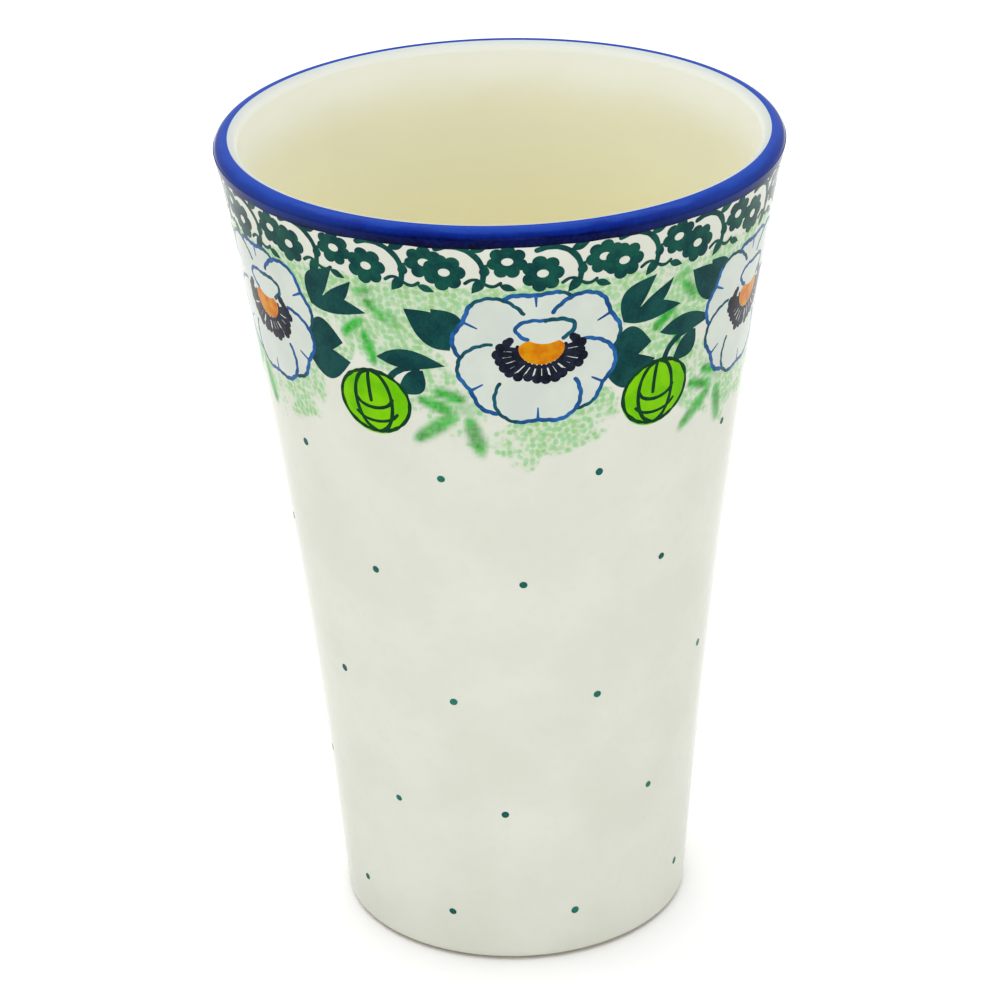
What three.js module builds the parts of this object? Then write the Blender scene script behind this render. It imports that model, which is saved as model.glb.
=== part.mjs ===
// A tall, handleless stoneware tumbler: one fired clay body with a round lip and a foot ring,
// and the fired glaze coats that are bonded to it.
// Millimetres, +Z up. The origin is on the tumbler's axis, at the plane that it stands on.

import * as THREE from 'three';

// Driving dimensions of the finished, glazed tumbler.
const HEIGHT = 150;
const RIM_RADIUS = 49.7;
const BASE_RADIUS = 31.7;
// 0 would be a straight cone; a higher value opens the wall more quickly towards the rim.
const FLARE = 0.41;

const LIP_HALF_THICKNESS = 2.1;
const LIP_SWELL_HEIGHT = 5;
const WALL_AT_LIP = 4.0;
const WALL_AT_FLOOR = 5.2;
const FLOOR_HEIGHT = 7;
const FLOOR_CORNER_RADIUS = 9;

const FOOT_CORNER_RADIUS = 2.0;
const FOOT_RING_WIDTH = 4.4;
const FOOT_INNER_SLOPE = 1.8;
const RECESS_DEPTH = 1.9;
const RECESS_GLAZE_RADIUS = 22.4;

// Every coat is this thick.
const GLAZE = 0.4;
// The cobalt band starts at this height outside and ends on the lip's crest.
const BAND_EDGE_HEIGHT = 147;
const CREST_ANGLE = Math.PI / 2;
// The outside glaze stops on the foot's round corner, at this angle from level.
const GLAZE_STOP_ANGLE = THREE.MathUtils.degToRad(-35);

const SIDES = 48;
const WALL_STEPS = 7;
const LIP_STEPS = 4;
const CORNER_STEPS = 3;
const FLOOR_CORNER_STEPS = 5;

const CLAY_COLOUR = 0xcbb79a;
const IVORY_COLOUR = 0xdedfd0;
const CREAM_COLOUR = 0xd6d0ac;
const COBALT_COLOUR = 0x1b2f9c;

const lipCentre = new THREE.Vector2(RIM_RADIUS - LIP_HALF_THICKNESS, HEIGHT - LIP_HALF_THICKNESS);

// Radius of the plain outside wall, a gentle trumpet from the base to the rim.
function wallRadius(z) {
  const t = z / HEIGHT;
  return BASE_RADIUS + (RIM_RADIUS - BASE_RADIUS) * (t + FLARE * t * (t - 1));
}

// The outside wall swells a little just below the lip, to meet the lip's round bead.
function outsideRadius(z) {
  const swell = RIM_RADIUS - wallRadius(lipCentre.y);
  const rise = THREE.MathUtils.smoothstep(z, lipCentre.y - LIP_SWELL_HEIGHT, lipCentre.y);
  return wallRadius(z) + swell * rise;
}

// The wall is thinnest under the lip and thickens evenly down to the floor.
function insideRadius(z) {
  const lipInside = lipCentre.x - LIP_HALF_THICKNESS;
  const wallAtLip = wallRadius(lipCentre.y) - lipInside;
  const belowLip = THREE.MathUtils.smoothstep(lipCentre.y - z, 0, LIP_SWELL_HEIGHT);
  const thinning = (WALL_AT_LIP - wallAtLip) * belowLip;
  const thickening = (WALL_AT_FLOOR - WALL_AT_LIP) * (1 - z / lipCentre.y);
  return wallRadius(z) - wallAtLip - thinning - thickening;
}

// Evenly spaced values from one to another, both ends included.
function evenly(from, to, steps) {
  return Array.from({ length: steps + 1 }, (_, i) => THREE.MathUtils.lerp(from, to, i / steps));
}

// Points on a circular arc in the meridian plane, both ends included.
function arc(centre, radius, fromAngle, toAngle, steps) {
  return evenly(fromAngle, toAngle, steps).map((angle) => new THREE.Vector2(
    centre.x + radius * Math.cos(angle),
    centre.y + radius * Math.sin(angle),
  ));
}

// Moves an open profile sideways, to the right of its direction of travel.
function offsetProfile(points, distance) {
  return points.map((point, i) => {
    const before = points[Math.max(i - 1, 0)];
    const after = points[Math.min(i + 1, points.length - 1)];
    const along = after.clone().sub(before).normalize();
    return new THREE.Vector2(point.x + along.y * distance, point.y - along.x * distance);
  });
}

// The glazed surface in three stretches, from the foot over the lip to the floor's centre.
// Each stretch starts where the one before it ends.
const footCentre = new THREE.Vector2();
footCentre.y = FOOT_CORNER_RADIUS;
footCentre.x = wallRadius(footCentre.y) - FOOT_CORNER_RADIUS;
const outsideStretch = [
  ...arc(footCentre, FOOT_CORNER_RADIUS, GLAZE_STOP_ANGLE, 0, CORNER_STEPS),
  ...evenly(footCentre.y, BAND_EDGE_HEIGHT, WALL_STEPS).slice(1).map(
    (z) => new THREE.Vector2(outsideRadius(z), z),
  ),
];

const bandStretch = [
  outsideStretch[outsideStretch.length - 1],
  ...arc(lipCentre, LIP_HALF_THICKNESS, 0, CREST_ANGLE, LIP_STEPS),
];

const floorCorner = new THREE.Vector2();
floorCorner.y = FLOOR_HEIGHT + FLOOR_CORNER_RADIUS;
floorCorner.x = insideRadius(floorCorner.y) - FLOOR_CORNER_RADIUS;
const insideStretch = [
  ...arc(lipCentre, LIP_HALF_THICKNESS, CREST_ANGLE, Math.PI, LIP_STEPS).slice(0, -1),
  ...evenly(lipCentre.y, floorCorner.y, WALL_STEPS).slice(0, -1).map(
    (z) => new THREE.Vector2(insideRadius(z), z),
  ),
  ...arc(floorCorner, FLOOR_CORNER_RADIUS, 0, -Math.PI / 2, FLOOR_CORNER_STEPS),
  new THREE.Vector2(0, FLOOR_HEIGHT),
];

const glazedSurface = [...outsideStretch, ...bandStretch.slice(1), ...insideStretch.slice(1)];
const claySurface = offsetProfile(glazedSurface, -GLAZE);
const bandStart = outsideStretch.length - 1;
const bandEnd = bandStart + bandStretch.length - 1;

// Underneath, a flat standing ring of bare clay surrounds a shallow recess.
const clayCornerRadius = FOOT_CORNER_RADIUS - GLAZE;
const standingCentre = new THREE.Vector2(footCentre.x, clayCornerRadius);
const ringInside = standingCentre.x - FOOT_RING_WIDTH;
const underside = [
  new THREE.Vector2(0, RECESS_DEPTH),
  new THREE.Vector2(RECESS_GLAZE_RADIUS, RECESS_DEPTH),
  new THREE.Vector2(ringInside - FOOT_INNER_SLOPE, RECESS_DEPTH),
  new THREE.Vector2(ringInside, 0),
  ...arc(standingCentre, clayCornerRadius, -Math.PI / 2, GLAZE_STOP_ANGLE, CORNER_STEPS).slice(0, -1),
];

// A coat fills the skin between the clay and the glazed surface, from one index to another.
function coatProfile(first, last) {
  const surface = glazedSurface.slice(first, last + 1);
  const clay = claySurface.slice(first, last + 1).reverse();
  const reachesAxis = surface[surface.length - 1].x === 0;
  return reachesAxis ? [...clay, ...surface] : [...surface, ...clay, surface[0]];
}

const recessCoatProfile = [
  new THREE.Vector2(0, RECESS_DEPTH - GLAZE),
  new THREE.Vector2(RECESS_GLAZE_RADIUS, RECESS_DEPTH - GLAZE),
  new THREE.Vector2(RECESS_GLAZE_RADIUS, RECESS_DEPTH),
  new THREE.Vector2(0, RECESS_DEPTH),
];

// Spins a profile about +Z. It starts and ends on the axis, or closes on itself.
function makeNode(name, profile, color, roughness) {
  const geometry = new THREE.LatheGeometry(profile, SIDES);
  geometry.rotateX(Math.PI / 2);
  const material = new THREE.MeshStandardMaterial({ color, roughness, metalness: 0 });
  const mesh = new THREE.Mesh(geometry, material);
  mesh.name = name;
  return mesh;
}

const tumbler = new THREE.Group();
tumbler.add(
  makeNode('stoneware_body', [...underside, ...claySurface], CLAY_COLOUR, 0.85),
  makeNode('outside_glaze', coatProfile(0, bandStart), IVORY_COLOUR, 0.15),
  makeNode('rim_band', coatProfile(bandStart, bandEnd), COBALT_COLOUR, 0.12),
  makeNode('inside_glaze', coatProfile(bandEnd, glazedSurface.length - 1), CREAM_COLOUR, 0.15),
  makeNode('recess_glaze', recessCoatProfile, IVORY_COLOUR, 0.2),
);

export default tumbler;
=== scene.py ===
"""Looks for a tall stoneware tumbler with folk flowers painted under its glaze.

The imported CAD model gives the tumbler's size and place. This script makes its smooth glazed
surfaces, the painted decoration, the materials, the floor, the lights and the camera.

Lengths are in millimetres until a vertex is made. The decoration is drawn on the wall unrolled
flat: x runs round the wall, 0 at the front (-Y), and UNROLL millimetres of x are one radian;
z is the height. Motifs are drawn where they stand in the front repeat, and copies are shifted
from there; the border stamp is drawn from the middle of its left floret.
"""
import math
import random

import bpy
import numpy as np
from mathutils import Matrix, Vector
from mathutils.geometry import delaunay_2d_cdt


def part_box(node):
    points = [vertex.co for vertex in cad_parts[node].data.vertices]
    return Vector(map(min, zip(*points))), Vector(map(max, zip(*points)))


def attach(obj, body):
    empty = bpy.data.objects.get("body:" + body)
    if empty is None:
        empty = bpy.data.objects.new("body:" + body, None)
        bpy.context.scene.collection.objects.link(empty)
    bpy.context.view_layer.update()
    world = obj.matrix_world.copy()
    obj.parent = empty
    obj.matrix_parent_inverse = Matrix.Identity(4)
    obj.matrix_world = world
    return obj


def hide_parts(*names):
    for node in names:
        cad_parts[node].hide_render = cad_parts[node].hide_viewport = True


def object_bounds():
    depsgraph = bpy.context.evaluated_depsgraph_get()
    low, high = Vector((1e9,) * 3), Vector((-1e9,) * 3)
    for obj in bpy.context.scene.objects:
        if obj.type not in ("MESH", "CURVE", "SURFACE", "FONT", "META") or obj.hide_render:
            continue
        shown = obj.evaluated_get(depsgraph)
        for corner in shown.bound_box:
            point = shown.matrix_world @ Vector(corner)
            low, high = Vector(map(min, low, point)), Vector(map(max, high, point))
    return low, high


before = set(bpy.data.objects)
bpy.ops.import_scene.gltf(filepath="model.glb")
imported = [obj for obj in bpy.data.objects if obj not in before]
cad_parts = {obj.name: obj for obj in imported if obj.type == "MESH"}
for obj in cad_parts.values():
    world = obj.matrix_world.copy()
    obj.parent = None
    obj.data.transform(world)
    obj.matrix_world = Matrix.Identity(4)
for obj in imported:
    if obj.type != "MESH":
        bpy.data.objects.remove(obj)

CAD_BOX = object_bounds()
MM = 0.001

# ---------------------------------------------------------------- sizes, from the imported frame

HEIGHT = CAD_BOX[1][2] / MM
RIM_RADIUS = CAD_BOX[1][0] / MM
FLOOR_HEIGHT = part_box("inside_glaze")[0][2] / MM + 0.4
RECESS_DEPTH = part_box("recess_glaze")[1][2] / MM
RECESS_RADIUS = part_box("recess_glaze")[1][0] / MM
BAND_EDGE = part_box("rim_band")[0][2] / MM

# The same driving dimensions as the CAD model.
BASE_RADIUS = 31.7
FLARE = 0.41
LIP = 2.1
LIP_SWELL_HEIGHT = 5.0
WALL_AT_LIP = 4.0
WALL_AT_FLOOR = 5.2
FLOOR_CORNER = 9.0
FOOT_CORNER = 2.0
FOOT_RING_WIDTH = 4.4
FOOT_INNER_SLOPE = 1.8
FOOT_INNER_CORNER = 0.6
GLAZE = 0.4
GLAZE_STOP_ANGLE = math.radians(-35)
LIP_CENTRE = (RIM_RADIUS - LIP, HEIGHT - LIP)

# The unrolled wall.
UNROLL = 46.0
HALF_TURN = math.pi * UNROLL
PAINT_LOW, PAINT_HIGH = 5.0, BAND_EDGE + 1.2
FILM_PROUD = 0.03
FILM_SUNK = 0.05
SMALLEST_AREA = 1e-5
MERGE_DISTANCE = 1e-4
# Extra points on the painted part keep every triangle small enough to follow the wall's curve.
EXTRA_POINTS_FROM = 106
EXTRA_POINTS_FIRST_ROW = 106.3
EXTRA_POINTS_STEP = 1.5

# Turned surfaces. Above RINGS_CHANGE, where the wall is sponged, the rings are closer together.
SIDES = 480
RINGS_CHANGE = 100
ON_AXIS = 1e-6
SHARP_ANGLE = math.radians(40)
INSIDE_ARC_END = math.pi - 0.16

# How far the cobalt slides over the crest of the lip, in degrees, and how much that varies.
CREST_SLIDE = 10
CREST_SLIDE_SWING = 7


def smoothstep(value, low, high):
    t = np.clip((value - low) / (high - low), 0.0, 1.0)
    return t * t * (3 - 2 * t)


def wall_radius(z):
    t = z / HEIGHT
    return BASE_RADIUS + (RIM_RADIUS - BASE_RADIUS) * (t + FLARE * t * (t - 1))


def outside_radius(z):
    swell = RIM_RADIUS - wall_radius(LIP_CENTRE[1])
    return wall_radius(z) + swell * smoothstep(z, LIP_CENTRE[1] - LIP_SWELL_HEIGHT, LIP_CENTRE[1])


def inside_radius(z):
    wall_at_lip = wall_radius(LIP_CENTRE[1]) - (LIP_CENTRE[0] - LIP)
    below_lip = smoothstep(LIP_CENTRE[1] - z, 0.0, LIP_SWELL_HEIGHT)
    thinning = (WALL_AT_LIP - wall_at_lip) * below_lip
    thickening = (WALL_AT_FLOOR - WALL_AT_LIP) * (1 - z / LIP_CENTRE[1])
    return wall_radius(z) - wall_at_lip - thinning - thickening


# ---------------------------------------------------------------- profiles and lathed solids


def evenly(start, end, steps):
    return [start + (end - start) * i / steps for i in range(steps + 1)]


def arc(centre, radius, start, end, steps):
    return [
        (centre[0] + radius * math.cos(a), centre[1] + radius * math.sin(a))
        for a in evenly(start, end, steps)
    ]


def offset_profile(points, distance):
    """Moves an open profile sideways, to the right of its direction of travel."""
    moved = []
    last = len(points) - 1
    for i, (r, z) in enumerate(points):
        before = points[max(i - 1, 0)]
        after = points[min(i + 1, last)]
        dr, dz = after[0] - before[0], after[1] - before[1]
        length = math.hypot(dr, dz)
        moved.append((r + dz / length * distance, z - dr / length * distance))
    return moved


foot_centre = (float(wall_radius(FOOT_CORNER)) - FOOT_CORNER, FOOT_CORNER)
floor_corner = (
    float(inside_radius(FLOOR_HEIGHT + FLOOR_CORNER)) - FLOOR_CORNER,
    FLOOR_HEIGHT + FLOOR_CORNER,
)

outside_stretch = arc(foot_centre, FOOT_CORNER, GLAZE_STOP_ANGLE, 0, 8)
outside_stretch += [(float(outside_radius(z)), z) for z in evenly(FOOT_CORNER, RINGS_CHANGE, 24)[1:]]
outside_stretch += [(float(outside_radius(z)), z) for z in evenly(RINGS_CHANGE, BAND_EDGE, 62)[1:]]

band_stretch = [(float(outside_radius(z)), z) for z in evenly(BAND_EDGE, LIP_CENTRE[1], 4)]
band_stretch += arc(LIP_CENTRE, LIP, 0, math.pi / 2, 16)[1:]

inside_stretch = arc(LIP_CENTRE, LIP, math.pi / 2, INSIDE_ARC_END, 12)
inside_stretch += [
    (float(inside_radius(z)), z) for z in evenly(LIP_CENTRE[1], floor_corner[1], 36)[1:-1]
]
inside_stretch += arc(floor_corner, FLOOR_CORNER, 0, -math.pi / 2, 14)
inside_stretch += [(r, FLOOR_HEIGHT) for r in evenly(floor_corner[0], 0, 5)[1:]]

glazed_surface = outside_stretch + band_stretch[1:] + inside_stretch[1:]
clay_surface = offset_profile(glazed_surface, -GLAZE)
BAND_START = len(outside_stretch) - 1
BAND_STOP = BAND_START + len(band_stretch) - 1


def slide_on_lip(r, z, angle):
    """Moves a lip point along the lip's curve, so the cobalt ends further in at the back."""
    across, above = r - LIP_CENTRE[0], z - LIP_CENTRE[1]
    if above <= 0:
        return r, z
    turn = math.atan2(above, across)
    turn += math.radians(CREST_SLIDE + CREST_SLIDE_SWING * math.sin(angle)) * math.sin(turn)
    radius = math.hypot(across, above)
    return LIP_CENTRE[0] + radius * math.cos(turn), LIP_CENTRE[1] + radius * math.sin(turn)


def lathe(name, profile):
    """A closed solid of revolution. The profile starts and ends on the axis or closes on itself."""
    closes = profile[0] == profile[-1]
    rings = profile[:-1] if closes else profile
    vertices = []
    ring_starts = []
    for r, z in rings:
        ring_starts.append(len(vertices))
        count = 1 if r < ON_AXIS else SIDES
        for k in range(count):
            angle = 2 * math.pi * k / SIDES
            ring_r, ring_z = slide_on_lip(r, z, angle)
            place = (ring_r * math.cos(angle), ring_r * math.sin(angle), ring_z)
            vertices.append(tuple(c * MM for c in place))
    faces = []
    pairs = list(zip(range(len(rings) - 1), range(1, len(rings))))
    if closes:
        pairs.append((len(rings) - 1, 0))
    for low, high in pairs:
        low_point = rings[low][0] < ON_AXIS
        high_point = rings[high][0] < ON_AXIS
        a, b = ring_starts[low], ring_starts[high]
        for k in range(SIDES):
            n = (k + 1) % SIDES
            if low_point:
                faces.append((a, b + n, b + k))
            elif high_point:
                faces.append((a + k, a + n, b))
            else:
                faces.append((a + k, a + n, b + n, b + k))
    mesh = bpy.data.meshes.new(name)
    mesh.from_pydata(vertices, [], faces)
    mesh.polygons.foreach_set("use_smooth", [True] * len(mesh.polygons))
    mesh.set_sharp_from_angle(angle=SHARP_ANGLE)
    return add_object(name, mesh)


def add_object(name, mesh):
    piece = bpy.data.objects.new(name, mesh)
    bpy.context.scene.collection.objects.link(piece)
    return piece


def coat_profile(first, last):
    """The skin between the clay and the glazed surface, from one profile point to another."""
    surface = glazed_surface[first:last + 1]
    clay = clay_surface[first:last + 1][::-1]
    if surface[-1][0] < ON_AXIS:
        return clay + surface
    return surface + clay + surface[:1]


# ---------------------------------------------------------------- drawing on the unrolled wall


def curve_span(points, i, closed, step):
    """Samples of the Catmull-Rom curve from one of its points up to the next."""
    count = len(points)
    if closed:
        p0, p1, p2, p3 = (points[(i + k - 1) % count] for k in range(4))
    else:
        p0, p1, p2, p3 = (points[min(max(i + k - 1, 0), count - 1)] for k in range(4))
    pieces = max(1, round(math.dist(p1, p2) / step))
    samples = []
    for t in evenly(0, 1, pieces)[:-1]:
        weights = (
            -0.5 * t ** 3 + t ** 2 - 0.5 * t,
            1.5 * t ** 3 - 2.5 * t ** 2 + 1,
            -1.5 * t ** 3 + 2 * t ** 2 + 0.5 * t,
            0.5 * t ** 3 - 0.5 * t ** 2,
        )
        samples.append(tuple(
            sum(w * p[axis] for w, p in zip(weights, (p0, p1, p2, p3))) for axis in (0, 1)
        ))
    return samples


def smooth(points, closed=False, step=0.3):
    """A smooth curve through the points. A point given twice makes a corner."""
    samples = []
    for i in range(len(points) if closed else len(points) - 1):
        if points[i] != points[(i + 1) % len(points)]:
            samples += curve_span(points, i, closed, step)
    return samples if closed else samples + [points[-1]]


class Place:
    """Shifts and turns a motif from where it is drawn. The turn is about the pivot."""

    def __init__(self, dx=0.0, dz=0.0, turn=0.0, pivot=(0.0, 0.0)):
        self.shift = (dx, dz)
        self.turn = math.radians(turn)
        self.pivot = pivot

    def __call__(self, points):
        c, s = math.cos(self.turn), math.sin(self.turn)
        moved = []
        for x, z in points:
            u, v = x - self.pivot[0], z - self.pivot[1]
            moved.append((
                self.pivot[0] + c * u - s * v + self.shift[0],
                self.pivot[1] + s * u + c * v + self.shift[1],
            ))
        return moved


class Wall:
    """The areas painted on the unrolled wall, in the order in which they are painted."""

    def __init__(self):
        self.areas = []

    def area(self, pigment, outline, place=Place()):
        self.areas.append((pigment, place(outline)))

    def shape(self, pigment, points, place=Place()):
        self.area(pigment, smooth(points, closed=True), place)

    def disc(self, pigment, centre, radius, place=Place(), squeeze=1.0, sides=16):
        self.area(pigment, [
            (centre[0] + radius * math.cos(a), centre[1] + radius * squeeze * math.sin(a))
            for a in evenly(0, 2 * math.pi, sides)[:-1]
        ], place)

    def stroke(self, pigment, points, width, place=Place(), tip=1.0, waver=0.10):
        self.line(pigment, smooth(points, step=0.35), width, place, tip, waver)

    def line(self, pigment, line, width, place=Place(), tip=1.0, waver=0.10):
        """A brush line of a width, whose far end has tip times the width."""
        last = len(line) - 1
        left, right = [], []
        for i, (x, z) in enumerate(line):
            before, after = line[max(i - 1, 0)], line[min(i + 1, last)]
            dx, dz = after[0] - before[0], after[1] - before[1]
            length = math.hypot(dx, dz) or 1.0
            press = 1 + waver * math.sin(2.1 * x + 1.3 * z) * math.sin(0.9 * z - 1.7 * x + 1.0)
            half = 0.5 * width * press * (1 + (tip - 1) * i / last)
            left.append((x - dz / length * half, z + dx / length * half))
            right.append((x + dz / length * half, z - dx / length * half))
        for i in range(last):
            self.area(pigment, [left[i], left[i + 1], right[i + 1], right[i]], place)
        for end, size in ((line[0], width), (line[-1], width * tip)):
            self.disc(pigment, end, size / 2, place, sides=10)

    def petal(self, points, lines, place):
        """A white petal. Lines are drawn on its edge as (pigment, first point, last point, width)."""
        edge, starts = [], []
        for i in range(len(points)):
            starts.append(len(edge))
            edge += curve_span(points, i, True, 0.3)
        starts.append(len(edge))
        self.area("petals", edge, place)
        for pigment, first, last, width in lines:
            self.line(pigment, ripple((edge + edge)[starts[first]:starts[last] + 1]), width, place)


def ripple(line, bump=0.16, length=1.9):
    """Small scallops along a line, like a hand resting between short strokes."""
    along = 0.0
    moved = []
    last = len(line) - 1
    for i, (x, z) in enumerate(line):
        before, after = line[max(i - 1, 0)], line[min(i + 1, last)]
        dx, dz = after[0] - before[0], after[1] - before[1]
        size = math.hypot(dx, dz) or 1.0
        along += math.dist(line[i], before)
        out = bump * (abs(math.sin(math.pi * along / length)) - 0.6)
        moved.append((x - dz / size * out, z + dx / size * out))
    return moved


# ---------------------------------------------------------------- the painted motifs

# Every motif is made of a few plain forms: rounded petals, almond leaves, ellipses and arcs.
HEART_CENTRE = (6.2, 127.0)
BLOSSOM_FOOT = (5.6, 126.2)
PETAL_POINTS = 14
PETAL_NOTCH = 0.07
NOTCH_WIDTH = 0.3
# The parts of a petal's edge that are drawn in, as (pigment, first point, last point, width).
PETAL_LINES = (("blue_lines", 3, 8, 0.78), ("teal_lines", 8, 11, 0.66))
CUP_LINES = (("blue_lines", 2, 7, 0.72), ("teal_lines", 7, 12, 0.8))
CREASE = (0.92, 0.84, 0.76)
# The petals of the open blossom from back to front, as (direction, reach, breadth).
PETALS = ((92, 12.2, 14.0), (28, 15.0, 13.0), (152, 15.0, 13.0), (-30, 14.4, 13.0),
          (210, 14.4, 13.0), (-90, 13.6, 14.5))
# Leaves as (foot, tip, breadth, bend).
BLOSSOM_LEAVES = (((17.2, 121.4), (27.3, 121.7), 6.4, -0.10),
                  ((18.2, 125.0), (26.2, 125.2), 6.4, 0.10))
UPPER_SPRIG = (((20.3, 130.2), (26.0, 138.0), 4.4, 0.12),
               ((22.6, 131.0), (29.6, 136.5), 2.8, -0.08),
               ((20.3, 130.2), (31.8, 130.9), 3.5, 0.06))
BUD_SPRIG = (((27.8, 126.4), (40.2, 126.0), 3.7, 0.04),
             ((36.2, 124.8), (31.2, 120.0), 4.2, 0.10))
LEAF_PAIR = (((-9.6, 127.4), (-17.0, 134.8), 6.0, -0.08),
             ((-7.0, 131.2), (-12.4, 135.2), 4.6, 0.08))
STAMP_LEAVES = (((6.3, -1.2), (4.1, -3.9), 1.8), ((8.6, -2.5), (11.3, -3.6), 1.3),
                ((4.4, 4.1), (7.4, 5.4), 1.6), ((6.1, -0.9), (6.7, 1.4), 1.7))
BUD_CENTRE = (28.2, 115.1)
BUD_SIZE = (6.9, 5.9)


def petal_form(foot, direction, reach, breadth):
    """A rounded petal that widens outwards, with a shallow notch in its far edge."""
    c, s = math.cos(math.radians(direction)), math.sin(math.radians(direction))
    points = []
    for a in evenly(0, 2 * math.pi, PETAL_POINTS)[:-1]:
        notch = PETAL_NOTCH * math.exp(-((a - math.pi) / NOTCH_WIDTH) ** 2)
        along = 0.5 - 0.5 * math.cos(a) - notch
        across = 0.5 * math.sin(a) * (0.7 + 0.6 * along)
        points.append((foot[0] + reach * along * c - breadth * across * s,
                       foot[1] + reach * along * s + breadth * across * c))
    return points


def leaf_form(foot, tip, breadth, bend=0.0):
    """An almond leaf, pointed at both ends, whose middle bends to the left of its direction."""
    dx, dz = tip[0] - foot[0], tip[1] - foot[1]
    left, right = [], []
    for t in evenly(0, 1, 6)[1:-1]:
        half = breadth / 2 * math.sin(math.pi * t ** 0.85) / math.hypot(dx, dz)
        middle = bend * math.sin(math.pi * t)
        for edge, off in ((left, middle + half), (right, middle - half)):
            edge.append((foot[0] + dx * t - dz * off, foot[1] + dz * t + dx * off))
    return [foot, foot] + left + [tip, tip] + right[::-1]


def oval(centre, half_x, half_z, start=0.0, end=360.0, steps=20):
    """Points on an ellipse from one angle to another, in degrees."""
    return [(centre[0] + half_x * math.cos(a), centre[1] + half_z * math.sin(a))
            for a in evenly(math.radians(start), math.radians(end), steps)]


def draw_blossom(wall, place, rng):
    """A white blossom, with an orange heart between a small cup petal and a half ring of stamens."""
    foot_x, foot_z = BLOSSOM_FOOT
    for direction, reach, breadth in PETALS:
        wall.petal(petal_form(BLOSSOM_FOOT, direction, reach, breadth), PETAL_LINES, place)
        c, s = math.cos(math.radians(direction)), math.sin(math.radians(direction))
        crease = [(foot_x + reach * k * c, foot_z + reach * k * s) for k in CREASE]
        wall.stroke("blue_lines", crease, 0.6, place, tip=0.5)
    draw_stamens(wall, place, rng)
    x, z = HEART_CENTRE
    half_moon = oval((x, z + 0.5), 3.9, 3.2, 180, 360, 8)
    half_moon += oval((x, z + 0.5), 3.9, 1.8, 0, 180, 8)[1:-1]
    wall.shape("hearts", half_moon, place)
    wall.petal(petal_form((x + 0.6, z + 1.2), 90, 4.8, 9.5), CUP_LINES, place)
    for side in (-1, 1):
        for k in range(4):
            a = math.radians(90 + side * (62 + 11 * k))
            centre = (x + 6.0 * math.cos(a), z + 1.0 + 2.4 * math.sin(a))
            wall.disc("stamens", centre, rng.uniform(0.65, 0.9), place)


def draw_stamens(wall, place, rng):
    """A half ring of dark stamens below the heart, each a filament with a round anther."""
    x, z = HEART_CENTRE
    for degrees in evenly(172, 368, 15):
        a = math.radians(degrees + rng.uniform(-2.0, 2.0))
        reach = rng.uniform(0.93, 1.05)
        start = (x + 3.7 * math.cos(a), z - 0.2 + 2.7 * math.sin(a))
        end = (x + 7.1 * reach * math.cos(a), z - 0.1 + 5.6 * reach * math.sin(a))
        wall.stroke("stamens", [start, end], 0.66, place, tip=1.9)
        wall.disc("stamens", end, rng.uniform(0.84, 1.02), place, sides=14)
    wall.stroke("stamens", oval((x, z + 0.3), 4.1, 3.5, 170, 370, 8), 0.7, place)


def draw_leaves(wall, leaves, place, pigment="leaves"):
    for leaf in leaves:
        wall.shape(pigment, leaf_form(*leaf), place)


def draw_bud(wall, place):
    """A round bud with its folded petals drawn as curves from top to bottom."""
    x, z = BUD_CENTRE
    half_x, half_z = BUD_SIZE
    wall.shape("buds", oval((x - 0.2, z - 0.2), half_x + 0.1, half_z + 0.3)[:-1], place)
    wall.stroke("bud_lines", oval(BUD_CENTRE, half_x, half_z), 0.66, place, waver=0.3)
    for swing, low in ((-0.55, 0.95), (0.5, 0.95), (-0.1, 0.5)):
        fold = [(x + swing * half_x * math.sin(math.pi * t), z + half_z * math.cos(math.pi * t))
                for t in evenly(0.04, low, 6)]
        wall.stroke("bud_lines", fold, 0.72, place)
    wall.stroke("bud_lines", oval((x, z + 0.8), 3.7, 2.2, 190, 350, 6), 0.68, place)
    wall.stroke("bud_lines", oval((x, z - 1.6), 4.4, 2.4, 200, 340, 6), 0.6, place)


def draw_stamp(wall, place):
    """The border stamp: two florets, an arched stem between them, twigs and small leaves."""
    draw_floret(wall, (10.0, 1.9), 3.2, 0.3, place)
    draw_floret(wall, (0.0, 0.0), 3.45, 0.0, place)
    arch_x, arch_z = arch = (1.2, -0.2)
    wall.stroke("border", oval(arch, 5.0, 5.2, 115, -15, 8), 1.0, place)
    stem = [(x, -2.0 + 0.7 * math.sin(1.1 * (x - 3.2))) for x in evenly(3.2, 8.8, 6)]
    wall.stroke("border", stem, 0.6, place)
    for degrees in (52, 15):
        c, s = math.cos(math.radians(degrees)), math.sin(math.radians(degrees))
        wall.stroke("border", [(arch_x + r * c, arch_z + r * s) for r in (5.0, 6.2)], 0.5, place)
    draw_leaves(wall, STAMP_LEAVES, place, "border")


def draw_floret(wall, centre, radius, turn, place):
    """A flower of seven round petals, with a round eye where the glaze shows."""
    outline = []
    for a in evenly(0, 2 * math.pi, 84)[:-1]:
        notch = abs(math.cos(3.5 * (a + turn))) ** 0.75
        r = radius * (0.79 + 0.21 * notch)
        outline.append((centre[0] + r * math.cos(a), centre[1] + r * math.sin(a)))
    wall.area("border", outline, place)
    wall.disc("bare", centre, 0.95, place, squeeze=0.8)


def draw_dot(wall, x, z, rng):
    """A round dab. The unrolled wall is wider than the real one, more so lower down."""
    widen = UNROLL / float(outside_radius(z))
    place = Place(x, z, turn=rng.uniform(-8, 8))
    wall.disc("dots", (0, 0), rng.uniform(0.64, 0.75) * widen, place,
              squeeze=rng.uniform(0.9, 1.04) / widen)


# ---------------------------------------------------------------- where the motifs stand

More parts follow.
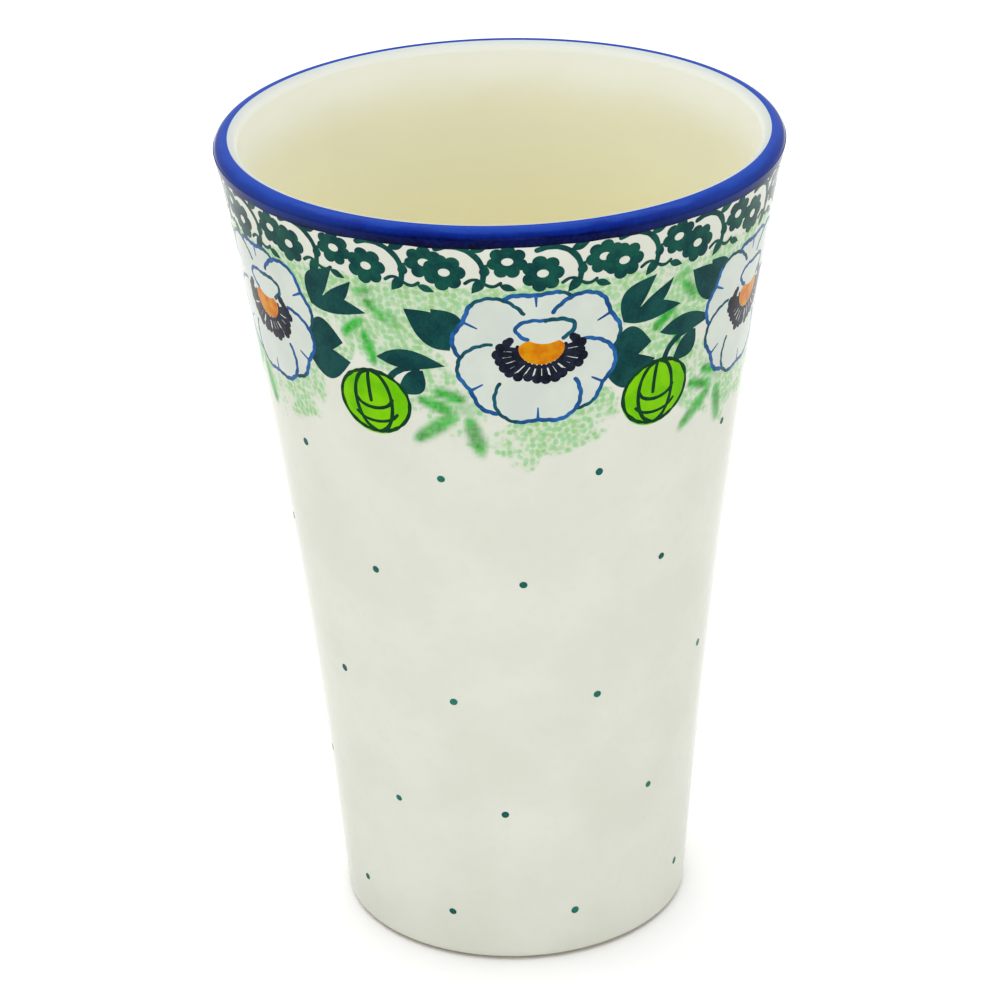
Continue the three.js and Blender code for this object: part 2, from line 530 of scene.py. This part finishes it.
# Six repeats round the wall, a little uneven, as (along, up, turn) from the front one.
BLOSSOM_SHIFTS = ((-55.3, 0.3, -1.0), (0.0, 0.0, 0.0), (47.4, -1.3, 1.5), (93.8, 0.2, 0.5),
                  (140.2, -0.6, -1.0), (187.0, 0.4, 1.0))
BUD_SHIFTS = ((-52.2, 0.4, 4.0), (0.0, 0.0, 0.0), (47.0, -0.6, -3.0), (93.4, 0.2, 2.0),
              (139.9, -0.3, -2.0), (186.2, 0.4, 3.0))
SPRIG_SHIFTS = ((-50.3, -2.0, 0.0), (0.0, 0.0, 0.0), (46.4, -0.9, 1.0), (92.9, 0.4, -1.0),
                (139.5, -0.6, 0.0), (186.6, -0.5, 1.0))
PRINT_SHIFTS = ((0.0, 0.0), (51.6, -3.2), (98.2, -0.6), (145.3, -1.4), (191.4, 0.2),
                (238.6, -0.8))
STAMPS = ((-38.0, 142.0), (-22.3, 141.7), (-9.2, 142.0), (6.3, 141.6), (19.7, 142.1),
          (34.0, 141.6), (49.4, 141.7))
STAMP_COUNT = 20
STAMP_HEIGHT = 141.7
SPRIG_PIVOT, LEAF_PAIR_PIVOT, BUD_PIVOT = (34.0, 124.0), (-12.0, 130.0), (28.2, 115.0)
LEAF_PAIR_SHIFT = (50.8, 1.7)
LEFT_SPRIG_LIFT = 1.2
DOT_ROWS = ((101.7, (-44.4, -12.4, 17.4, 50.4)), (80.6, (-28.9, 2.7, 33.8)),
            (55.8, (-43.9, -13.2, 19.3, 53.4)), (32.2, (-30.1, -2.4, 35.9)),
            (9.9, (-46.7, -17.1, 15.1, 51.8)))
DOTS_PER_ROW = 9


def fill_round(starts, count):
    """The given places, and the rest of the count spread evenly over what is left of the turn."""
    gap = 2 * HALF_TURN - (starts[-1] - starts[0])
    missing = count - len(starts)
    return list(starts) + [starts[-1] + gap * (k + 1) / (missing + 1) for k in range(missing)]


def paint_wall():
    wall = Wall()
    rng = random.Random(11)
    heights = [z for _, z in STAMPS] + [STAMP_HEIGHT] * (STAMP_COUNT - len(STAMPS))
    for x, z in zip(fill_round([x for x, _ in STAMPS], STAMP_COUNT), heights):
        draw_stamp(wall, Place(x, z, rng.uniform(-1.0, 1.6)))
    for dx, dz, turn in SPRIG_SHIFTS:
        place = Place(dx, dz, turn, pivot=SPRIG_PIVOT)
        draw_leaves(wall, BUD_SPRIG, place)
        wall.stroke("leaves", oval((35.2, 120.6), 5.8, 4.6, 90, 170, 5), 1.15, place)
        pair_x, pair_z = dx + LEAF_PAIR_SHIFT[0], dz + LEAF_PAIR_SHIFT[1]
        draw_leaves(wall, LEAF_PAIR, Place(pair_x, pair_z, turn, pivot=LEAF_PAIR_PIVOT))
    for dx, dz, turn in BLOSSOM_SHIFTS:
        lift = LEFT_SPRIG_LIFT if dx < 0 else 0.0
        draw_leaves(wall, BLOSSOM_LEAVES, Place(dx, dz))
        draw_leaves(wall, UPPER_SPRIG, Place(dx, dz + lift))
        draw_blossom(wall, Place(dx, dz, turn, pivot=HEART_CENTRE), rng)
    for dx, dz, turn in BUD_SHIFTS:
        draw_bud(wall, Place(dx, dz, turn, pivot=BUD_PIVOT))
    for z, starts in DOT_ROWS:
        for x in fill_round(starts, DOTS_PER_ROW):
            draw_dot(wall, x, z, rng)
    draw_band_edge(wall)
    return wall


def draw_band_edge(wall):
    """A strip in the band's colours along its lower edge, ending unevenly a little way down over the
    border.
    """
    edge = []
    for x in evenly(-HALF_TURN, HALF_TURN, 480):
        a = x / UNROLL
        wave = 0.14 * math.sin(3 * a + 0.4) + 0.08 * math.sin(11 * a) + 0.06 * math.sin(37 * a + 1)
        edge.append((x, BAND_EDGE - 0.3 + wave))
    wall.area("band_edge", edge + [(x, PAINT_HIGH) for x in evenly(HALF_TURN, -HALF_TURN, 240)])


# ---------------------------------------------------------------- turning paint into thin films


def signed_area(outline):
    total = 0.0
    for (x0, z0), (x1, z1) in zip(outline, outline[1:] + outline[:1]):
        total += x0 * z1 - x1 * z0
    return total / 2


def divide_wall(wall):
    """Cuts the unrolled wall into triangles that each show one pigment or none.

    Returns the plane points and, for each pigment, its triangles. Where areas overlap, the one
    painted last shows.
    """
    points, faces, owners = [], [], []

    def add_face(outline, owner):
        area = signed_area(outline)
        if abs(area) < SMALLEST_AREA:
            return
        first = len(points)
        points.extend(Vector(p) for p in (outline if area > 0 else outline[::-1]))
        faces.append(list(range(first, first + len(outline))))
        owners.append(owner)

    whole_wall = -1
    add_face([(-HALF_TURN, PAINT_LOW), (HALF_TURN, PAINT_LOW),
              (HALF_TURN, PAINT_HIGH), (-HALF_TURN, PAINT_HIGH)], whole_wall)
    for owner, (_, outline) in enumerate(wall.areas):
        low = min(x for x, _ in outline)
        high = max(x for x, _ in outline)
        for shift in (-2 * HALF_TURN, 0, 2 * HALF_TURN):
            if high + shift > -HALF_TURN and low + shift < HALF_TURN:
                add_face([(x + shift, z) for x, z in outline], owner)
    step = EXTRA_POINTS_STEP
    across = math.ceil(2 * HALF_TURN / step)
    for row in range(math.ceil((PAINT_HIGH - EXTRA_POINTS_FROM) / step)):
        for column in range(across):
            x = -HALF_TURN + (column + 0.5 + 0.25 * (-1) ** row) * step
            points.append(Vector((x, EXTRA_POINTS_FIRST_ROW + row * step)))

    cut = delaunay_2d_cdt(points, [], faces, 1, MERGE_DISTANCE, True)
    flat, triangles, sources = cut[0], cut[2], cut[5]
    by_pigment = {}
    for triangle, found in zip(triangles, sources):
        if 0 not in found:
            continue
        owner = max(owners[face] for face in found)
        if owner != whole_wall:
            by_pigment.setdefault(wall.areas[owner][0], []).append(tuple(triangle))
    by_pigment.pop("bare", None)
    return [(p.x, p.y) for p in flat], by_pigment


def on_wall(x, z, height):
    """The point at a height above the glazed wall, and the wall's normal there."""
    angle = x / UNROLL - math.pi / 2
    radius = float(outside_radius(z))
    slope = float(outside_radius(z + 0.05) - outside_radius(z - 0.05)) / 0.1
    length = math.hypot(1.0, slope)
    normal = (math.cos(angle) / length, math.sin(angle) / length, -slope / length)
    base = (radius * math.cos(angle), radius * math.sin(angle), z)
    return tuple((b + n * height) * MM for b, n in zip(base, normal)), normal


def make_film(name, flat, triangles):
    """A thin closed film on the wall, with the wall's own normals on its outer face."""
    used = sorted({i for t in triangles for i in t})
    index = {old: new for new, old in enumerate(used)}
    count = len(used)
    tops, bottoms, normals = [], [], []
    for old in used:
        x, z = flat[old]
        top, normal = on_wall(x, z, FILM_PROUD)
        bottom, _ = on_wall(x, z, -FILM_SUNK)
        tops.append(top)
        bottoms.append(bottom)
        normals.append(normal)
    faces, loop_normals = [], []
    edges = {}
    for t in triangles:
        a, b, c = (index[i] for i in t)
        faces.append((a, b, c))
        loop_normals += [normals[a], normals[b], normals[c]]
        faces.append((c + count, b + count, a + count))
        loop_normals += [tuple(-v for v in normals[i]) for i in (c, b, a)]
        for edge in ((a, b), (b, c), (c, a)):
            edges[edge] = True
    for a, b in edges:
        if (b, a) in edges:
            continue
        faces.append((b, a, a + count, b + count))
        along = Vector(tops[b]) - Vector(tops[a])
        outward = along.cross(Vector(normals[a])).normalized()
        loop_normals += [tuple(outward)] * 4
    mesh = bpy.data.meshes.new(name)
    mesh.from_pydata(tops + bottoms, [], faces)
    mesh.polygons.foreach_set("use_smooth", [True] * len(mesh.polygons))
    mesh.normals_split_custom_set(loop_normals)
    return add_object(name, mesh)


# ---------------------------------------------------------------- sponge and soft leaf prints

# Soft leaf prints as (from, to, half width, strength).
LOWER_PRINTS = (
    ((-12.7, 119.2), (-6.3, 117.2), 1.5, 1.0), ((-16.0, 117.4), (-8.6, 115.2), 1.4, 1.0),
    ((-17.2, 108.6), (-7.9, 115.2), 1.7, 0.9), ((-6.8, 114.9), (-4.1, 106.0), 1.8, 0.88),
    ((-9.8, 115.3), (-2.3, 117.4), 0.7, 0.5), ((-8.6, 114.6), (-2.8, 116.2), 0.6, 0.45),
)
UPPER_PRINTS = (
    ((26.0, 127.0), (31.3, 131.2), 1.3, 1.0), ((30.6, 129.5), (32.6, 122.0), 1.25, 1.0),
    ((31.5, 135.4), (35.8, 130.8), 1.2, 0.9), ((35.3, 133.8), (37.7, 130.0), 1.1, 0.6),
    ((29.4, 135.6), (33.6, 137.1), 1.1, 0.7),
)
# Sponge areas as (centre, half width, half height, density), for the front repeat.
SPONGE = (
    ((-19.0, 129.0), 9.0, 9.0, 0.9), ((33.5, 130.5), 7.0, 9.0, 0.9),
    ((-12.5, 122.0), 5.0, 6.0, 0.75), ((14.5, 114.8), 7.5, 6.5, 0.85),
    ((9.5, 110.6), 10.5, 5.2, 0.8), ((2.5, 109.6), 8.0, 4.6, 0.72),
    ((3.0, 105.6), 3.4, 3.0, 0.5), ((24.5, 126.5), 5.5, 6.0, 0.7),
    ((-8.3, 115.0), 7.0, 6.5, 0.62), ((39.0, 118.5), 5.0, 5.0, 0.7),
    ((-4.0, 111.5), 5.5, 5.0, 0.6),
)


def around(x, centre):
    """Shortest way round the wall from a centre to x."""
    return (x - centre + HALF_TURN) % (2 * HALF_TURN) - HALF_TURN


def print_strength(x, z):
    """How much soft leaf print is at each place, 0 to 1."""
    total = np.zeros_like(x)
    groups = [(LOWER_PRINTS, shift) for shift in PRINT_SHIFTS]
    groups += [(UPPER_PRINTS, shift[:2]) for shift in BLOSSOM_SHIFTS]
    for prints, (dx, dz) in groups:
        for (x0, z0), (x1, z1), half, strength in prints:
            ux, uz = x1 - x0, z1 - z0
            length = math.hypot(ux, uz)
            rx, rz = around(x, x0 + dx), z - (z0 + dz)
            along = (rx * ux + rz * uz) / length ** 2
            off = np.abs(rx * uz - rz * ux) / length
            body = np.clip(4 * along * (1 - along), 0, 1) ** 0.5
            inside = 1 - smoothstep(off, half * 0.3 * body, half * 1.15 * body + 0.2)
            ends = smoothstep(along, -0.04, 0.14) * (1 - smoothstep(along, 0.80, 1.05))
            total = np.maximum(total, strength * inside * ends)
    return total


def sponge_density(x, z):
    """How thickly the sponge was dabbed at each place, 0 to 1."""
    strip = smoothstep(z, 125.0, 132.0) * (1 - smoothstep(z, 138.6, 140.4))
    total = 0.92 * strip
    for dx, dz, _ in BLOSSOM_SHIFTS:
        for (cx, cz), half_x, half_z, density in SPONGE:
            away = np.hypot(around(x, cx + dx) / half_x, (z - cz - dz) / half_z)
            total = np.maximum(total, density * (1 - smoothstep(away, 0.6, 1.05)))
    return total


def paint_attributes(mesh):
    """Stores the sponge and leaf print strengths on a mesh's points."""
    count = len(mesh.vertices)
    coordinates = np.empty(count * 3)
    mesh.vertices.foreach_get("co", coordinates)
    coordinates = coordinates.reshape(-1, 3) / MM
    x, z = unrolled(coordinates)
    strengths = {"leaf_print": print_strength(x, z), "sponge": sponge_density(x, z)}
    for name, values in strengths.items():
        attribute = mesh.attributes.new(name, "FLOAT", "POINT")
        attribute.data.foreach_set("value", values.astype(np.float32))


def unrolled(coordinates):
    angle = np.arctan2(coordinates[:, 1], coordinates[:, 0]) + math.pi / 2
    angle = (angle + math.pi) % (2 * math.pi) - math.pi
    return angle * UNROLL, coordinates[:, 2]


# ---------------------------------------------------------------- materials

GLAZE_SPECULAR = 0.04
FLECK_STRENGTH = 0.5


def colour(red, green, blue):
    """A colour given as 0 to 255 on the screen, as the linear colour that a shader takes."""
    linear = []
    for value in (red, green, blue):
        v = value / 255
        linear.append(v / 12.92 if v <= 0.04045 else ((v + 0.055) / 1.055) ** 2.4)
    return (*linear, 1.0)


class Nodes:
    """Short names for the shader nodes that the materials share."""

    def __init__(self, name):
        self.material = bpy.data.materials.new(name)
        self.material.use_nodes = True
        self.tree = self.material.node_tree
        self.shader = self.tree.nodes["Principled BSDF"]
        self.place = self.tree.nodes.new("ShaderNodeTexCoord").outputs["Object"]

    def link(self, value, socket):
        if isinstance(value, bpy.types.NodeSocket):
            self.tree.links.new(value, socket)
        else:
            socket.default_value = value

    def math(self, operation, a, b=0.0, clamp=False):
        node = self.tree.nodes.new("ShaderNodeMath")
        node.operation = operation
        node.use_clamp = clamp
        self.link(a, node.inputs[0])
        self.link(b, node.inputs[1])
        return node.outputs[0]

    def ramp(self, value, low, high, to_low=0.0, to_high=1.0):
        """Smooth change from to_low at low to to_high at high."""
        node = self.tree.nodes.new("ShaderNodeMapRange")
        node.interpolation_type = "SMOOTHSTEP"
        limits = {"From Min": low, "From Max": high, "To Min": to_low, "To Max": to_high}
        for name, number in limits.items():
            node.inputs[name].default_value = number
        self.link(value, node.inputs["Value"])
        return node.outputs["Result"]

    def mix(self, factor, a, b):
        node = self.tree.nodes.new("ShaderNodeMix")
        node.data_type = "RGBA"
        self.link(factor, node.inputs["Factor"])
        self.link(a, node.inputs[6])
        self.link(b, node.inputs[7])
        return node.outputs[2]

    def split(self):
        """The object's own coordinates, as a node with the outputs X, Y and Z."""
        node = self.tree.nodes.new("ShaderNodeSeparateXYZ")
        self.link(self.place, node.inputs[0])
        return node.outputs

    def scaled(self, stretch):
        node = self.tree.nodes.new("ShaderNodeMapping")
        node.inputs["Scale"].default_value = stretch
        self.link(self.place, node.inputs["Vector"])
        return node.outputs["Vector"]

    def noise(self, size, detail=2.0, roughness=0.5, stretch=(1.0, 1.0, 1.0)):
        """Cloudy noise whose lumps are about size millimetres across."""
        node = self.tree.nodes.new("ShaderNodeTexNoise")
        node.inputs["Scale"].default_value = 1 / (size * MM)
        node.inputs["Detail"].default_value = detail
        node.inputs["Roughness"].default_value = roughness
        self.link(self.scaled(stretch), node.inputs["Vector"])
        return node.outputs["Fac"]

    def cells(self, size):
        """Distance to the nearest of scattered points about size millimetres apart."""
        node = self.tree.nodes.new("ShaderNodeTexVoronoi")
        node.inputs["Scale"].default_value = 1 / (size * MM)
        self.link(self.place, node.inputs["Vector"])
        return node.outputs["Distance"]

    def wall_cells(self, size, randomness):
        """Cells on the unrolled wall: the distance to each cell's middle and a chance number."""
        split = self.split()
        forwards = self.math("MULTIPLY", split["Y"], -1.0)
        angle = self.math("ARCTAN2", split["X"], forwards)
        joined = self.tree.nodes.new("ShaderNodeCombineXYZ")
        self.link(self.math("MULTIPLY", angle, UNROLL * MM), joined.inputs["X"])
        self.link(split["Z"], joined.inputs["Y"])
        node = self.tree.nodes.new("ShaderNodeTexVoronoi")
        node.voronoi_dimensions = "2D"
        node.inputs["Scale"].default_value = 1 / (size * MM)
        node.inputs["Randomness"].default_value = randomness
        self.link(joined.outputs["Vector"], node.inputs["Vector"])
        chance = self.tree.nodes.new("ShaderNodeSeparateColor")
        self.link(node.outputs["Color"], chance.inputs[0])
        return node.outputs["Distance"], chance.outputs[0]

    def attribute(self, name):
        node = self.tree.nodes.new("ShaderNodeAttribute")
        node.attribute_name = name
        return node.outputs["Fac"]

    def height(self):
        return self.math("DIVIDE", self.split()["Z"], MM)

    def sideways(self):
        """Distance from the plane that halves the tumbler front to back, in millimetres."""
        return self.math("ABSOLUTE", self.math("DIVIDE", self.split()["X"], MM))

    def bump(self, value, distance, strength=1.0):
        node = self.tree.nodes.new("ShaderNodeBump")
        node.inputs["Distance"].default_value = distance * MM
        node.inputs["Strength"].default_value = strength
        self.link(value, node.inputs["Height"])
        self.tree.links.new(node.outputs["Normal"], self.shader.inputs["Normal"])

    def finish(self, base, roughness, specular):
        self.link(base, self.shader.inputs["Base Color"])
        self.link(roughness, self.shader.inputs["Roughness"])
        self.shader.inputs["Specular IOR Level"].default_value = specular
        return self.material


def glossy_glaze(nodes, base):
    """The clear glaze over every fired colour: slow swells, faint orange peel, a few dull spots."""
    swell = nodes.noise(22.0, detail=1.0)
    peel = nodes.noise(1.6, detail=2.0)
    nodes.bump(nodes.math("ADD", swell, nodes.math("MULTIPLY", peel, 0.06)), 0.05, 0.6)
    roughness = nodes.ramp(nodes.noise(9.0, detail=3.0), 0.35, 0.75, 0.09, 0.17)
    return nodes.finish(base, roughness, GLAZE_SPECULAR)


def speckled(nodes, base, fleck_colour, size, rarity):
    """A few iron flecks in the glaze."""
    fleck = nodes.ramp(nodes.cells(size), 0.0, rarity, 1.0, 0.0)
    return nodes.mix(nodes.math("MULTIPLY", fleck, FLECK_STRENGTH), base, fleck_colour)


def ivory_wall_material():
    n = Nodes("ivory_wall_glaze")
    tone = n.noise(18.0, detail=3.0)
    ivory = n.mix(n.ramp(tone, 0.3, 0.7), colour(215, 217, 204), colour(221, 223, 211))
    mottle = n.ramp(n.noise(2.2, detail=3.0), 0.45, 0.8, 0.0, 0.2)
    ivory = n.mix(mottle, ivory, colour(208, 210, 194))
    ivory = speckled(n, ivory, colour(140, 130, 108), 4.5, 0.03)

    density = n.attribute("sponge")
    blotches = n.ramp(n.noise(4.5, detail=2.0), 0.3, 0.7, -0.52, 0.16)
    blotches = n.math("MULTIPLY", blotches, n.ramp(density, 0.02, 0.3))
    patchy = n.math("ADD", density, blotches)
    sponged = n.mix(n.ramp(patchy, 0.1, 0.9, 0.0, 0.9), ivory, colour(196, 214, 182))
    for size, strength in ((1.32, 0.8), (1.05, 0.55)):
        away, chance = n.wall_cells(size, 0.75)
        seeds = n.ramp(away, 0.27, 0.50, 1.0, 0.0)
        thick = n.math("ADD", patchy, n.math("MULTIPLY", chance, 0.5))
        seeds = n.math("MULTIPLY", seeds, n.ramp(thick, 0.5, 0.95, 0.0, strength))
        green = n.mix(chance, colour(140, 190, 118), colour(148, 202, 150))
        sponged = n.mix(seeds, sponged, green)

    strokes = n.noise(1.1, detail=2.0)
    print_amount = n.attribute("leaf_print")
    printed = n.math("MULTIPLY", print_amount, n.ramp(strokes, 0.2, 0.7, 0.8, 1.0))
    print_tone = n.ramp(n.noise(3.4), 0.38, 0.62)
    print_colour = n.mix(print_tone, colour(0, 142, 16), colour(44, 176, 50))
    painted = n.mix(printed, sponged, print_colour)
    return glossy_glaze(n, painted)


def cobalt_material(name="cobalt_band_glaze"):
    """Cobalt, bright over the lip and dark below it. The bright crest is partly thin cobalt and
    partly a painted highlight; the dark navy low on the band is partly thick cobalt and partly
    painted shade.
    """
    n = Nodes(name)
    cloud = n.noise(7.0, detail=3.0, stretch=(1.0, 1.0, 4.0))
    height = n.math("ADD", n.height(), n.ramp(cloud, 0.3, 0.7, -0.28, 0.28))
    # From the navy low on the band, partly painted shade, up to the crest colour, partly a painted
    # highlight.
    navy, deep = colour(1, 2, 26), colour(2, 6, 66)
    bright, crest = colour(8, 34, 124), colour(17, 57, 150)
    blue = n.mix(n.ramp(height, HEIGHT - 3.2, HEIGHT - 2.0), navy, deep)
    blue = n.mix(n.ramp(height, HEIGHT - 2.0, HEIGHT - 0.8), blue, bright)
    blue = n.mix(n.ramp(height, HEIGHT - 0.8, HEIGHT - 0.1), blue, crest)
    # The band is painted a lighter blue on its two sides, toward the top: a painted reflection.
    painted_light_zone = n.math("MULTIPLY", n.ramp(n.sideways(), 14, 42, 0.0, 0.42),
                  n.ramp(height, HEIGHT - 4.0, HEIGHT - 2.4))
    blue = n.mix(painted_light_zone, blue, colour(52, 76, 154))
    fine = n.ramp(n.noise(0.8, detail=3.0), 0.3, 0.8, 0.0, 0.12)
    return glossy_glaze(n, n.mix(fine, blue, colour(30, 70, 165)))


def inside_material():
    """Cream glaze, yellower with depth; paler just under the lip as painted light, and greyer on the
    lip as painted shade.
    """
    n = Nodes("cream_inside_glaze")
    depth = n.ramp(n.height(), HEIGHT - 8, HEIGHT - 50)
    cream = n.mix(depth, colour(238, 237, 213), colour(236, 229, 182))
    cloud = n.ramp(n.noise(25.0, detail=3.0), 0.3, 0.7, 0.0, 0.4)
    cream = n.mix(cloud, cream, colour(230, 229, 206))
    cream = speckled(n, cream, colour(140, 130, 95), 6.0, 0.03)
    # Paler glaze just under the lip: painted light that lifts the shade falling there.
    uneven = n.math("ADD", n.height(), n.ramp(n.noise(12.0), 0.3, 0.7, -0.7, 0.7))
    painted_light_under_lip = n.ramp(uneven, HEIGHT - 13.0, HEIGHT - 2.5)
    cream = n.mix(n.math("MULTIPLY", painted_light_under_lip, 0.95), cream, colour(246, 248, 242))
    # Greyer on the lip's inner shoulder, where the top light falls brightest: painted shade.
    painted_light_zone = n.ramp(n.height(), HEIGHT - 1.9, HEIGHT + 0.3)
    return glossy_glaze(n, n.mix(painted_light_zone, cream, colour(172, 178, 174)))


def underside_material():
    n = Nodes("ivory_underside_glaze")
    tone = n.noise(12.0, detail=3.0)
    ivory = n.mix(n.ramp(tone, 0.3, 0.7), colour(194, 196, 182), colour(206, 208, 196))
    return glossy_glaze(n, speckled(n, ivory, colour(140, 130, 108), 4.0, 0.05))


def clay_material():
    n = Nodes("bare_fired_clay")
    grain = n.noise(0.7, detail=5.0, roughness=0.65)
    clay = n.mix(n.ramp(grain, 0.3, 0.7), colour(204, 192, 170), colour(224, 214, 196))
    clay = speckled(n, clay, colour(115, 88, 60), 1.6, 0.10)
    n.bump(grain, 0.12, 0.7)
    return n.finish(clay, n.ramp(grain, 0.3, 0.7, 0.75, 0.92), 0.3)


def pigment_material(name, dark, light, size):
    """A brushed pigment under the glaze: denser and thinner patches, and fine brush grain."""
    n = Nodes(name)
    patches = n.ramp(n.noise(size, detail=3.0), 0.32, 0.70)
    grain = n.ramp(n.noise(0.5, detail=2.0), 0.3, 0.75, 0.0, 0.35)
    amount = n.math("ADD", n.math("MULTIPLY", patches, 0.8), grain, clamp=True)
    return glossy_glaze(n, n.mix(amount, dark, light))


def heart_material():
    n = Nodes("orange_pigment")
    tone = n.ramp(n.noise(2.2, detail=2.0), 0.35, 0.65)
    base = n.mix(tone, colour(214, 144, 10), colour(200, 104, 4))
    grain = n.ramp(n.noise(0.6, detail=2.0), 0.4, 0.8, 0.0, 0.3)
    base = n.mix(grain, base, colour(190, 148, 14))
    return glossy_glaze(n, base)


def petal_material():
    n = Nodes("white_petal_glaze")
    tone = n.ramp(n.noise(7.0, detail=3.0), 0.3, 0.7)
    return glossy_glaze(n, n.mix(tone, colour(202, 210, 201), colour(210, 217, 207)))


def bud_material():
    n = Nodes("lime_bud_pigment")
    tone = n.ramp(n.noise(5.0, detail=2.0), 0.35, 0.65)
    base = n.mix(tone, colour(100, 184, 0), colour(124, 199, 1))
    grain = n.ramp(n.noise(0.8, detail=2.0), 0.45, 0.85, 0.0, 0.25)
    base = n.mix(grain, base, colour(140, 202, 6))
    return glossy_glaze(n, base)


# ---------------------------------------------------------------- the tumbler


def finish_piece(piece, material, slot, *nodes):
    piece.data.materials.append(material)
    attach(piece, "root")
    if nodes:
        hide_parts(*nodes)
    return piece


def make_body():
    standing = (foot_centre[0], FOOT_CORNER - GLAZE)
    ring_inside = standing[0] - FOOT_RING_WIDTH
    profile = [(0, RECESS_DEPTH), (RECESS_RADIUS, RECESS_DEPTH)]
    profile += [(ring_inside - FOOT_INNER_SLOPE, RECESS_DEPTH)]
    corner = (ring_inside, FOOT_INNER_CORNER)
    profile += arc(corner, FOOT_INNER_CORNER, math.radians(-135), math.radians(-90), 4)
    profile += arc(standing, FOOT_CORNER - GLAZE, -math.pi / 2, GLAZE_STOP_ANGLE, 8)[:-1]
    profile += clay_surface
    return lathe("clay_body", profile)


def make_recess_glaze():
    low, high = RECESS_DEPTH - GLAZE, RECESS_DEPTH
    profile = [(0, low), (RECESS_RADIUS - 0.3, low), (RECESS_RADIUS, low + 0.25)]
    profile += [(RECESS_RADIUS, high), (0, high)]
    return lathe("recess_glaze_coat", profile)


finish_piece(make_body(), clay_material(), "fired_clay", "stoneware_body")
outside_coat = lathe("outside_glaze_coat", coat_profile(0, BAND_START))
paint_attributes(outside_coat.data)
finish_piece(outside_coat, ivory_wall_material(), "ivory_glaze", "outside_glaze")
finish_piece(lathe("rim_band_coat", coat_profile(BAND_START, BAND_STOP)), cobalt_material(),
             "cobalt_glaze", "rim_band")
finish_piece(lathe("inside_glaze_coat", coat_profile(BAND_STOP, len(glazed_surface) - 1)),
             inside_material(), "cream_glaze", "inside_glaze")
finish_piece(make_recess_glaze(), underside_material(), "ivory_underside_glaze", "recess_glaze")

# Brushed pigments, as (material name, dark colour, light colour, size of their patches).
BRUSHED = {
    "leaves": ("leaf_green_pigment", (6, 52, 56), (20, 76, 72), 4.0),
    "border": ("border_green_pigment", (6, 54, 58), (20, 84, 70), 3.0),
    "blue_lines": ("petal_blue_pigment", (20, 70, 116), (40, 100, 168), 3.0),
    "teal_lines": ("petal_teal_pigment", (14, 62, 72), (28, 92, 112), 3.0),
    "stamens": ("stamen_black_pigment", (12, 13, 24), (32, 38, 56), 2.0),
    "bud_lines": ("bud_line_pigment", (6, 48, 34), (14, 68, 26), 2.0),
    "dots": ("dot_pigment", (8, 62, 66), (46, 122, 104), 14.0),
}
PIGMENTS = {
    pigment: pigment_material(name, colour(*dark), colour(*light), size)
    for pigment, (name, dark, light, size) in BRUSHED.items()
}
PIGMENTS["petals"] = petal_material()
PIGMENTS["hearts"] = heart_material()
PIGMENTS["buds"] = bud_material()
PIGMENTS["band_edge"] = cobalt_material("band_edge_glaze")

flat_points, films = divide_wall(paint_wall())
for pigment in sorted(films):
    film = make_film("paint_" + pigment, flat_points, films[pigment])
    film_slot = "cobalt_glaze" if pigment == "band_edge" else "ivory_glaze"
    finish_piece(film, PIGMENTS[pigment], film_slot)

# ---------------------------------------------------------------- floor, light and camera


def make_floor():
    half = 2.0
    mesh = bpy.data.meshes.new("studio_floor")
    mesh.from_pydata([(-half, -half, 0), (half, -half, 0), (half, half, 0), (-half, half, 0)], [],
                     [(0, 1, 2, 3)])
    floor = add_object("studio_floor", mesh)
    n = Nodes("pale_floor")
    base = n.mix(n.noise(60.0, detail=2.0), colour(250, 250, 250), colour(253, 253, 253))
    floor.data.materials.append(n.finish(base, 0.9, 0.1))


def make_light(name, place, target, size, power):
    data = bpy.data.lights.new(name, "AREA")
    data.shape = "RECTANGLE"
    data.size, data.size_y = size
    data.energy = power
    light = bpy.data.objects.new(name, data)
    light.location = place
    light.rotation_euler = (Vector(target) - Vector(place)).to_track_quat("-Z", "Y").to_euler()
    bpy.context.scene.collection.objects.link(light)


def make_camera():
    """A long lens 0.7 m away, 25.6 degrees above level, with the framing's small tilts."""
    distance, elevation = 0.7006, math.radians(25.578)
    yaw, pitch, roll = math.radians(0.1182), math.radians(0.2366), math.radians(1.3536)
    target = Vector((0, 0, 75 * MM))
    eye = target + distance * Vector((0, -math.cos(elevation), math.sin(elevation)))
    forward = (target - eye).normalized()
    right = forward.cross(Vector((0, 0, 1))).normalized()
    up = right.cross(forward)
    axes = Matrix((right, up, -forward)).transposed()
    axes = axes @ Matrix.Rotation(yaw, 3, "Y") @ Matrix.Rotation(pitch, 3, "X")
    axes = axes @ Matrix.Rotation(-roll, 3, "Z")
    data = bpy.data.cameras.new("camera")
    data.sensor_width = 36.0
    data.lens = 3.84982 * data.sensor_width
    camera = bpy.data.objects.new("camera", data)
    camera.matrix_world = Matrix.Translation(eye) @ axes.to_4x4()
    bpy.context.scene.collection.objects.link(camera)
    bpy.context.scene.camera = camera


def make_world():
    world = bpy.data.worlds.new("studio")
    world.use_nodes = True
    background = world.node_tree.nodes["Background"]
    background.inputs["Color"].default_value = (1.0, 1.0, 1.0, 1.0)
    background.inputs["Strength"].default_value = 0.5
    bpy.context.scene.world = world


make_floor()
make_light("softbox_above", (-0.05, 0.15, 1.2), (0, 0.1, 0), (1.6, 1.6), 21.0)
make_light("softbox_front", (0.06, -1.1, 0.2), (0, 0, 0.05), (0.5, 0.4), 1.3)
make_camera()
make_world()
bpy.context.scene.view_settings.view_transform = "Standard"
